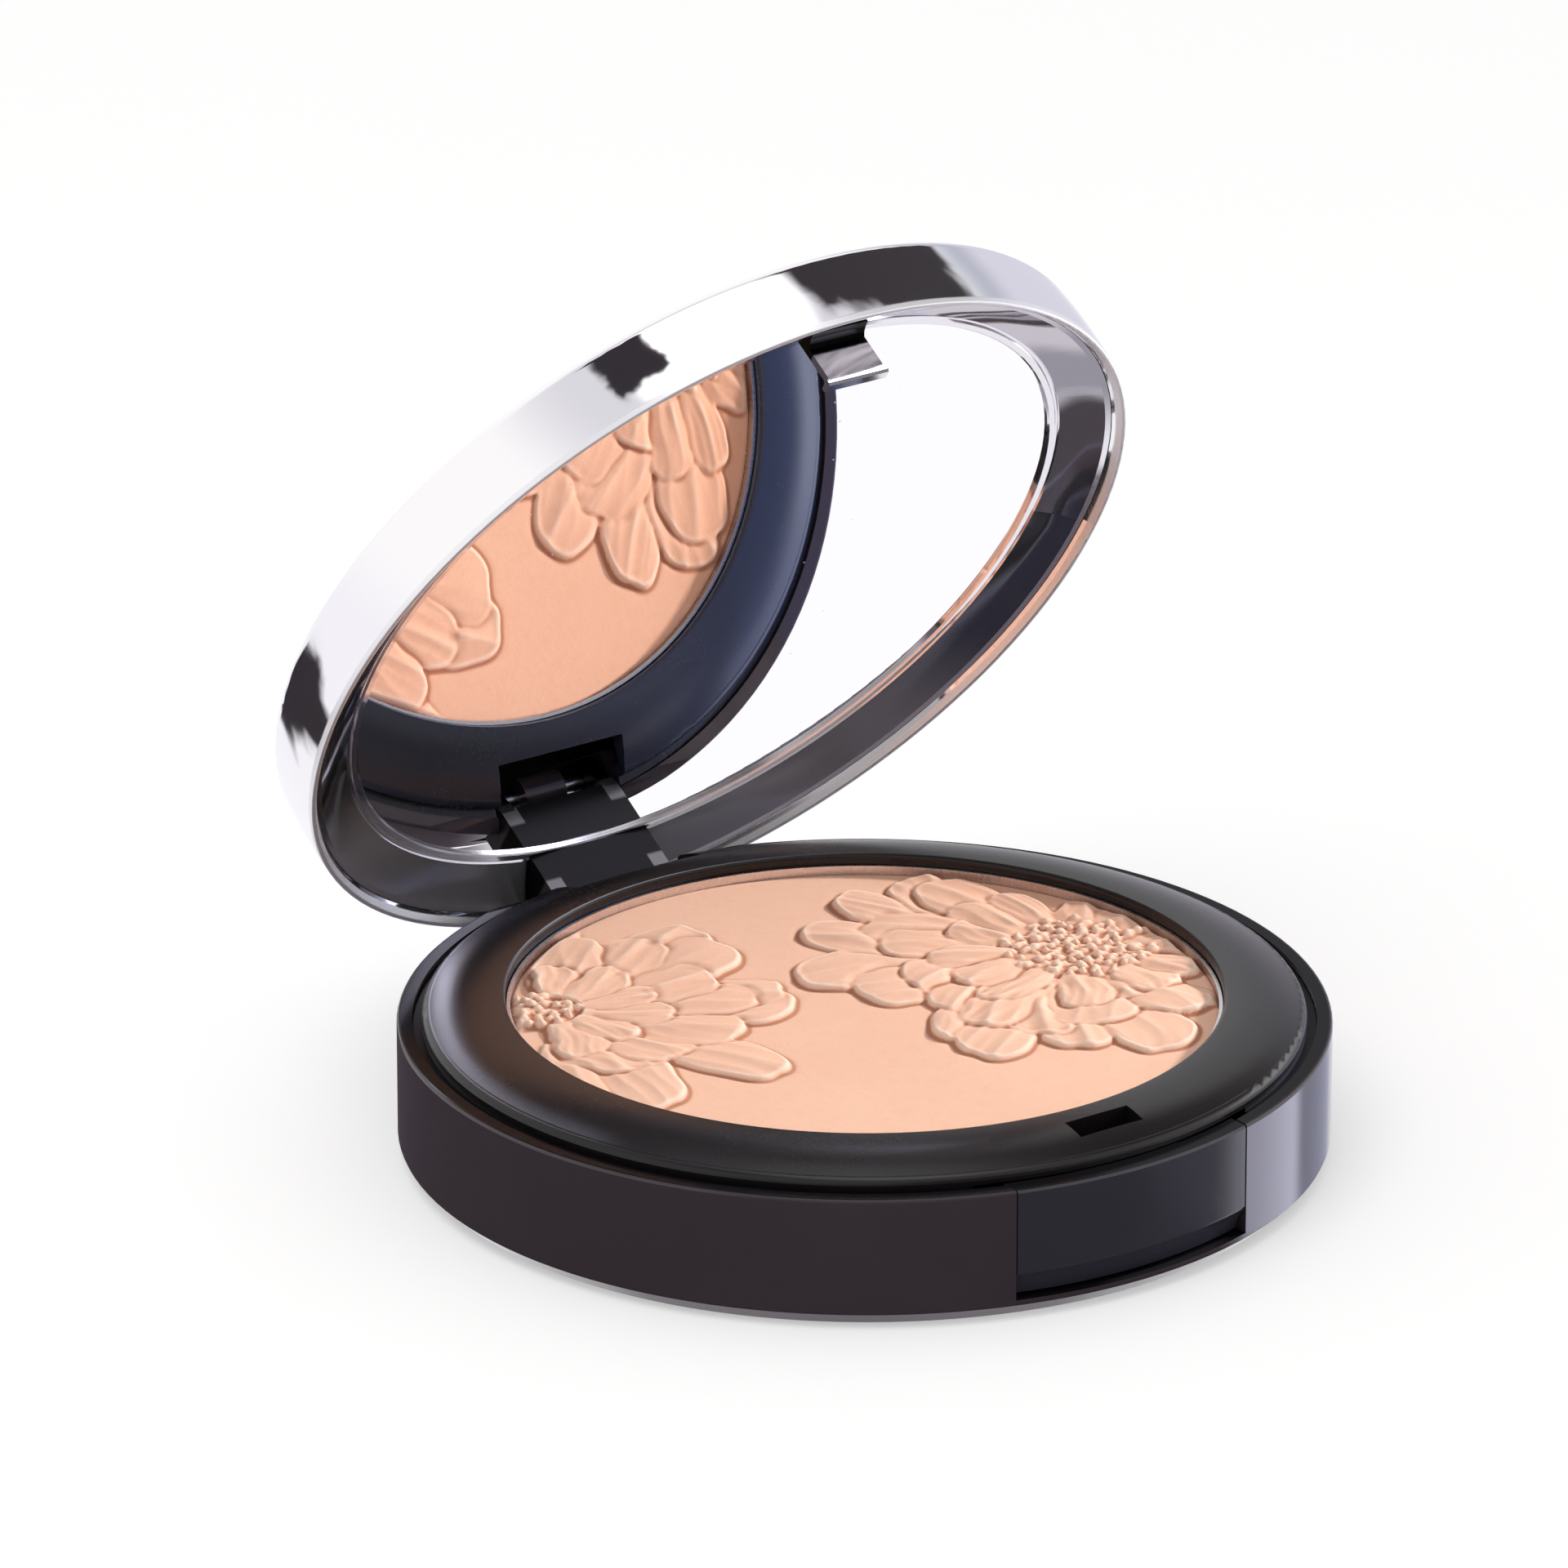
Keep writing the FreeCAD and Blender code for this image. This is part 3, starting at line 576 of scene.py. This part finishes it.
def make_powder():
    look = powder_material()
    height, crease = powder_field()
    inside = np.hypot(GRID_X, GRID_Y) <= RADIUS - 0.02
    index = -np.ones(GRID_X.shape, int)
    index[inside] = np.arange(inside.sum())
    points = np.stack([CENTRE_X + GRID_X[inside], CENTRE_Y + GRID_Y[inside],
                       FACE + height[inside]], 1)
    i, j = np.nonzero(inside[:-1, :-1] & inside[1:, :-1] & inside[1:, 1:] & inside[:-1, 1:])
    quads = np.stack([index[i, j], index[i + 1, j], index[i + 1, j + 1], index[i, j + 1]], 1)

    bm = bmesh.new()
    layer = bm.verts.layers.float.new("crease")
    verts = [bm.verts.new(tuple(point * MM)) for point in points]
    for vert, value in zip(verts, crease[inside]):
        vert[layer] = float(value)
    for quad in quads:
        bm.faces.new([verts[k] for k in quad])
    bmesh.ops.delete(bm, geom=[v for v in bm.verts if not v.link_faces], context="VERTS")
    # push the stepped border out onto the circle, then close the sides and the underside
    border = [e for e in bm.edges if len(e.link_faces) == 1]
    for vert in {v for e in border for v in e.verts}:
        x, y = vert.co.x / MM - CENTRE_X, vert.co.y / MM - CENTRE_Y
        k = (RADIUS - 0.01) / math.hypot(x, y)
        vert.co = ((CENTRE_X + x * k) * MM, (CENTRE_Y + y * k) * MM, (FACE - 0.05) * MM)
    down = bmesh.ops.extrude_edge_only(bm, edges=border)["geom"]
    for part in down:
        if isinstance(part, bmesh.types.BMVert):
            part.co.z = UNDERSIDE * MM
    ring = [part for part in down if isinstance(part, bmesh.types.BMEdge)]
    bmesh.ops.contextual_create(bm, geom=ring)
    bmesh.ops.recalc_face_normals(bm, faces=bm.faces[:])
    mesh = mesh_from(bm, "powder_relief")
    mesh.materials.append(look)
    for face in mesh.polygons:
        face.use_smooth = abs(face.normal.z) > 0.02 and len(face.vertices) == 4
    relief = add_object("powder_relief", mesh)
    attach(relief, "base")
    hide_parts("pressed_powder")


make_powder()

# ------------------------------------------------------------------ return springs


def make_springs():
    """Two coils along Y, left and right; they are built at one length and do not shorten as the
    push plate travels.
    """
    turns, per_turn, sides = 5, 26, 8
    wire = 0.16 * MM
    low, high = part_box("return_springs")
    radius = (high.z - low.z) / 2 - wire
    mid_z = (high.z + low.z) / 2
    bm = bmesh.new()
    for side in (-1, 1):
        mid_x = side * (high.x - radius - wire)
        rings = []
        for i in range(turns * per_turn + 1):
            a = 2 * math.pi * i / per_turn
            y = high.y - wire - (high.y - low.y - 2 * wire) * i / (turns * per_turn)
            centre = Vector((mid_x + radius * math.cos(a), y, mid_z + radius * math.sin(a)))
            out = Vector((math.cos(a), 0, math.sin(a)))
            ring = []
            for k in range(sides):
                b = 2 * math.pi * k / sides
                spoke = out * math.cos(b) + Vector((0, 1, 0)) * math.sin(b)
                ring.append(bm.verts.new(centre + wire * spoke))
            rings.append(ring)
        for p, q in zip(rings, rings[1:]):
            for k in range(sides):
                bm.faces.new((p[k], p[(k + 1) % sides], q[(k + 1) % sides], q[k]))
        bm.faces.new(rings[0])
        bm.faces.new(list(reversed(rings[-1])))
    bmesh.ops.recalc_face_normals(bm, faces=bm.faces[:])
    mesh = mesh_from(bm, "spring_coils")
    for face in mesh.polygons:
        face.use_smooth = len(face.vertices) == 4
    mesh.materials.append(MATERIALS["return_springs"])
    coils = add_object("spring_coils", mesh)
    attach(coils, "base")
    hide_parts("return_springs")
    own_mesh(coils)


make_springs()

# ------------------------------------------------------------------ floor and table shade


def make_floor():
    """Pale floor, one-sided so that the underside of the base can be seen from below."""
    half, z = 3.0, -0.00002
    mesh = bpy.data.meshes.new("floor")
    corners = [(-half, -half, z), (half, -half, z), (half, half, z), (-half, half, z)]
    mesh.from_pydata(corners, [], [(0, 1, 2, 3)])
    floor = add_object("floor", mesh)
    made, tree, bsdf, coord = new_material("floor_pale")
    drift = tree.noise(coord, scale=6.0, detail=2.0)
    tree.put(bsdf, {
        "Base Color": tree.mix(drift, (0.90, 0.90, 0.90), (0.93, 0.93, 0.93)),
        "Roughness": 0.9, "Specular IOR Level": 0.0,
        "Emission Color": (1, 1, 1, 1), "Emission Strength": 0.42})
    behind = tree.node("ShaderNodeNewGeometry").outputs["Backfacing"]
    mixer = tree.shader_mix(behind, bsdf, tree.node("ShaderNodeBsdfTransparent"))
    tree.put(tree.out, {0: mixer.outputs[0]})
    mesh.materials.append(made)
    floor.visible_glossy = False
    return floor


def make_table_shade():
    """Painted shade: a dark glowing part ring on the table around the base, seen in reflections
    only, in place of the shaded table close to the base.
    """
    bm = bmesh.new()
    bmesh.ops.create_circle(bm, cap_ends=True, segments=96, radius=0.085)
    mesh = mesh_from(bm, "table_shade")
    shade = add_object("table_shade", mesh)
    shade.location.z = -0.00001
    made = bpy.data.materials.new("table_shade")
    tree = Tree(made)
    coord = tree.texture_coord("Object")
    x, y, _ = tree.node("ShaderNodeSeparateXYZ", {0: coord}).outputs
    squares = tree.add(tree.math("POWER", x, 2.0), tree.math("POWER", y, 2.0))
    distance = tree.math("SQRT", squares)
    side = tree.size(tree.azimuth(coord, centre=-80))
    amount = tree.mul(tree.fall(distance, 0.060, 0.078),
                      tree.fall(side, math.radians(92), math.radians(104)))
    amount = tree.mul(amount, tree.math("GREATER_THAN", distance, 0.0385))
    # painted shade: the dim glow of the dark ring
    painted_shade_glow = tree.node("ShaderNodeEmission", {"Color": (0.085, 0.070, 0.085, 1)})
    mixer = tree.shader_mix(amount, tree.node("ShaderNodeBsdfTransparent"), painted_shade_glow)
    tree.put(tree.out, {0: mixer.outputs[0]})
    mesh.materials.append(made)
    for ray in ("camera", "diffuse", "shadow", "transmission", "volume_scatter"):
        setattr(shade, "visible_" + ray, False)


floor = make_floor()
make_table_shade()

# ------------------------------------------------------------------ world

# cards: azimuth, elevation, half width, half height, soft edge (degrees), colour
FRONT_CARDS = [
    (-18, 8, 52, 20, 22, (0.42, 0.40, 0.40)),
    (-4, 26, 20, 9, 10, (0.07, 0.06, 0.06)),
    (31, 9, 13, 9, 8, (0.10, 0.09, 0.09)),
]
LOW_CARDS = [
    (-80, -45, 24, 16, 12, (0.36, 0.25, 0.20)),
    (112, -24, 14, 8, 8, (0.60, 0.64, 0.85)),
    (85, -24, 12.5, 10, 6, (2.7, 2.75, 3.4)),
    (135, -65, 18, 13, 8, (0.36, 0.35, 0.39)),
    (136, -57, 16, 6.5, 6, (0.66, 0.63, 0.68)),
]
# black flags that give the plating its dark patches: as the cards, then ragged edge, shift
FLAGS = [
    (103, 47, 12.5, 19, 4, 8, 3.0),
    (-94, 72, 10, 7, 2, 7, -5.0),
    (-157.5, -22, 13, 6.5, 3, 7, 0.0),
]
# brightening overhead: sine of the elevation where it starts and ends, colour
OVERHEAD = [
    (0.62, 0.88, (0.78, 0.77, 0.80)),
    (0.912, 0.945, (1.7, 1.68, 1.66)),
    (0.955, 0.985, (2.6, 2.6, 2.65)),
]


class Sky(Tree):
    """World tree that paints masked colours one over another; angles in degrees."""

    def __init__(self, world):
        super().__init__(world, "ShaderNodeOutputWorld")
        self.ray = self.texture_coord("Generated")
        self.wobble = self.sub(self.noise(self.ray, scale=9.0, detail=2.0), 0.5)
        self.height = self.dot(self.ray, UP)
        self.colour = self.mix(self.ramp(self.height, -0.10, 0.20),
                               (1.00, 0.99, 1.02), (1.08, 1.07, 1.05))

    def paint(self, mask, colour):
        self.colour = self.mix(mask, self.colour, colour)

    def within(self, angle, half, soft):
        half, edge = math.radians(half), math.radians(soft) / 2
        return self.fall(self.size(angle), half - edge, half + edge)

    def card(self, azimuth, elevation, half_width, half_height, soft, ragged=0.0, shift=0.0):
        """Mask of a soft-edged card seen in one direction."""
        centre = direction(azimuth, elevation)
        a = math.radians(azimuth)
        level = Vector((math.cos(a), math.sin(a), 0))
        across = self.math("ARCTAN2", self.dot(self.ray, level), self.dot(self.ray, centre))
        upward = self.math("ARCSINE", self.dot(self.ray, centre.cross(level)))
        if shift:
            across = self.sub(across, math.radians(shift))
        if ragged:
            across = self.add(across, self.mul(self.wobble, math.radians(ragged)))
            upward = self.add(upward, self.mul(self.wobble, math.radians(ragged)))
        return self.mul(self.within(across, half_width, soft),
                        self.within(upward, half_height, soft))

    def wedge(self, centre, half, top, soft_side, soft_top):
        """Mask of everything below the elevation top, around a centre azimuth."""
        side = self.within(self.azimuth(self.ray, centre), half, soft_side)
        start, stop = (math.sin(math.radians(top + s * soft_top / 2)) for s in (-1, 1))
        return self.mul(side, self.fall(self.height, start, stop))


def make_world():
    world = bpy.data.worlds.new("studio")
    bpy.context.scene.world = world
    sky = Sky(world)
    path = sky.node("ShaderNodeLightPath").outputs
    for start, stop, colour in OVERHEAD:
        sky.paint(sky.ramp(sky.height, start, stop), colour)
    for *place, colour in FRONT_CARDS:
        sky.paint(sky.card(*place), colour)
    # soft grey at the back right
    grey = sky.mix(sky.ramp(sky.height, 0.22, 0.40), (0.72, 0.70, 0.79), (0.45, 0.47, 0.55))
    sky.paint(sky.card(121, 6, 22, 22, 18), grey)
    # dark table in front, with a cool patch and a streaked patch
    table = sky.wedge(centre=-26, half=90, top=-9, soft_side=8, soft_top=5)
    sky.paint(table, (0.15, 0.125, 0.145))
    sky.paint(sky.card(40, -24, 19, 11, 10), (0.20, 0.20, 0.27))
    streaks = sky.noise(sky.scaled(sky.ray, (3, 3, 34)), scale=3.0, detail=2.0)
    streaks = sky.mix(sky.ramp(streaks, 0.38, 0.62), (0.20, 0.185, 0.19), (0.85, 0.82, 0.84))
    sky.paint(sky.card(36, -29, 6, 7, 4), streaks)
    for *place, colour in LOW_CARDS:
        sky.paint(sky.card(*place), colour)
    # dark straight below
    sky.paint(sky.fall(sky.height, -0.985, -0.968), (0.07, 0.06, 0.07))
    for flag in FLAGS:
        sky.paint(sky.card(*flag), (0.02, 0.015, 0.02))
    # second reflections, such as the deck seen in the mirror, see a cool room with a strip
    # light low on the right; the second alone also sees a bright card at the front right
    deep = sky.math("GREATER_THAN", path["Glossy Depth"], 1.5)
    cool = sky.mix(sky.ramp(sky.dot(sky.ray, direction(92, 50)), 0.30, 0.95),
                   (0.22, 0.24, 0.40), (0.26, 0.34, 0.80))
    upper_right = sky.ramp(sky.dot(sky.ray, direction(84, 50)), 0.62, 0.86)
    sky.paint(sky.mul(deep, upper_right), cool)
    sky.paint(sky.mul(deep, sky.card(101, 11, 24, 13, 14)), (2.3, 2.4, 3.5))
    second = sky.mul(deep, sky.math("LESS_THAN", path["Glossy Depth"], 2.5))
    sky.paint(sky.mul(second, sky.card(43, 2, 17, 15, 8)), (6.0, 6.0, 7.0))

    glossy = sky.node("ShaderNodeBackground", {"Color": sky.colour})
    diffuse = sky.node("ShaderNodeBackground",
                       {"Color": (1.0, 0.99, 0.985, 1), "Strength": 0.56})
    backdrop = sky.node("ShaderNodeBackground", {"Color": (1, 1, 1, 1)})
    lighting = sky.shader_mix(path["Is Glossy Ray"], diffuse, glossy)
    final = sky.shader_mix(path["Is Camera Ray"], lighting, backdrop)
    sky.put(sky.out, {0: final.outputs[0]})


make_world()

# ------------------------------------------------------------------ lights and camera


def area_light(name, shape, size, power, color):
    light = bpy.data.lights.new(name, "AREA")
    light.shape, light.size, light.energy, light.color = shape, size, power, color
    return add_object(name, light)


def disk_light(name, place, target, size, power, color):
    """Round light aimed at a target, not seen in reflections."""
    lamp = area_light(name, "DISK", size, power, color)
    lamp.location = place
    lamp.rotation_euler = (Vector(target) - place).to_track_quat("-Z", "Y").to_euler()
    lamp.visible_glossy = False
    return lamp


def make_lights():
    key = disk_light("key", direction(84, 27) * 0.7, target=(0, 0, 0.01),
                     size=0.085, power=5.4, color=(1.0, 0.975, 0.95))
    # the key leaves out the floor, which keeps only a soft contact shadow
    unlit = bpy.data.collections.new("not_lit_by_key")
    unlit.objects.link(floor)
    unlit.collection_objects[0].light_linking.link_state = "EXCLUDE"
    key.light_linking.receiver_collection = unlit
    disk_light("fill", direction(-70, 62) * 0.8, target=(0, 0, 0.02),
               size=0.5, power=0.9, color=(1.0, 0.99, 0.98))
    # a strip that only the deck receives, for the fine lines along its edges
    rim = area_light("rim_right", "RECTANGLE", size=0.34, power=0.45, color=(0.95, 0.96, 1.0))
    rim.data.size_y = 0.15
    aim = direction(87, 21)
    turn = aim.to_track_quat("Z", "Y").to_matrix().to_4x4()
    rim.matrix_world = Matrix.Translation(aim * 0.6) @ turn
    group = bpy.data.collections.new("rim_right")
    group.objects.link(NODES["bezel_deck"])
    rim.light_linking.receiver_collection = group


def make_camera():
    back = direction(CAMERA_AZIMUTH, CAMERA_ELEVATION)
    a = math.radians(CAMERA_AZIMUTH)
    right = Vector((math.cos(a), math.sin(a), 0))
    up = back.cross(right)
    lens = bpy.data.cameras.new("camera")
    lens.sensor_width = 36.0
    lens.lens = 305.41875
    lens.clip_start, lens.clip_end = 0.01, 50
    camera = add_object("camera", lens)
    place = (back * 1098.5 + right * -6.63 + up * 29.34) * MM
    axes = Matrix((right, up, back)).transposed().to_4x4()
    camera.matrix_world = Matrix.Translation(place) @ axes
    bpy.context.scene.camera = camera


make_lights()
make_camera()
bpy.context.scene.view_settings.view_transform = "Standard"
